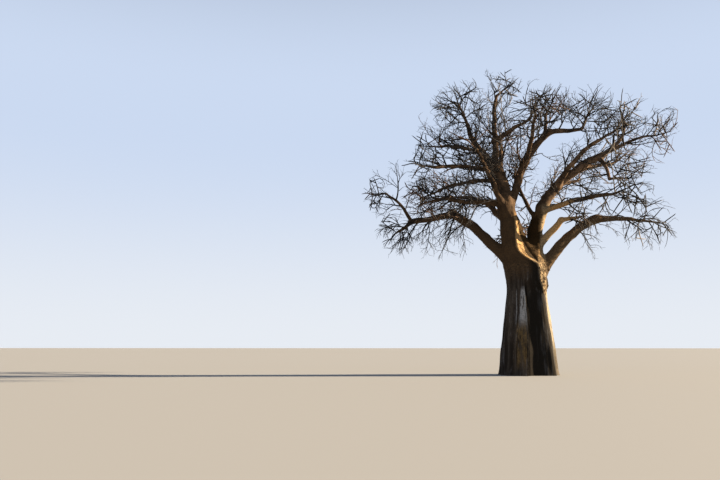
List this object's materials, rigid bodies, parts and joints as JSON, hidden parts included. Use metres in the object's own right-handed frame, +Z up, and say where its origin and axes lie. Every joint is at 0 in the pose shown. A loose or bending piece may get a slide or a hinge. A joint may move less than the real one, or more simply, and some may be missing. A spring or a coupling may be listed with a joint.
{
  "type": "baobab tree",
  "caption": "Bare dry-season baobab tree with a stout tapering trunk cut flat at the ground, a fork of thick boughs and a wide domed crown of leafless twigs.",
  "frame": {"origin": "middle of the flat cut under the trunk, at ground level", "axes": "+Z up the trunk; -Y is the side the picture shows, with +X to the viewer's right"},
  "size_m": [18.7538, 14.1672, 18.688],
  "materials": {
    "bark": "rough grey-brown to copper bark",
    "twigs": "rough grey-brown twig bark"
  },
  "bodies": {
    "root": {"trunk": "bark", "bough_back_far_right": "bark", "bough_back_high": "bark", "bough_back_left": "bark", "bough_back_low": "bark", "bough_back_right": "bark", "bough_centre": "bark", "bough_centre_right": "bark", "bough_centre_up": "bark", "bough_crown_mid": "bark", "bough_front_left": "bark", "bough_front_mid": "bark", "bough_front_right": "bark", "bough_left_cross": "bark", "bough_left_high": "bark", "bough_left_low": "bark", "bough_left_mid": "bark", "bough_left_outer": "bark", "bough_left_shoulder": "bark", "bough_left_tip": "bark", "bough_right_drop": "bark", "bough_right_far": "bark", "bough_right_high": "bark", "bough_right_inner": "bark", "bough_right_low": "bark", "bough_right_mid": "bark", "bough_right_outer": "bark", "bough_right_top": "bark", "leader_left": "bark", "leader_top": "bark", "stem_left": "bark", "stem_right": "bark", "stub_right": "bark", "twigs_back_far_right": "twigs", "twigs_back_high": "twigs", "twigs_back_left": "twigs", "twigs_back_low": "twigs", "twigs_back_right": "twigs", "twigs_centre_right": "twigs", "twigs_centre_up": "twigs", "twigs_crown_mid": "twigs", "twigs_front_left": "twigs", "twigs_front_mid": "twigs", "twigs_front_right": "twigs", "twigs_leader_left": "twigs", "twigs_left_cross": "twigs", "twigs_left_high": "twigs", "twigs_left_mid": "twigs", "twigs_left_outer": "twigs", "twigs_left_shoulder": "twigs", "twigs_left_tip": "twigs", "twigs_right_drop": "twigs", "twigs_right_far": "twigs", "twigs_right_inner": "twigs", "twigs_right_mid": "twigs", "twigs_right_outer": "twigs", "twigs_right_top": "twigs", "twigs_stub": "twigs", "twigs_top": "twigs"}
  },
  "joints": []
}
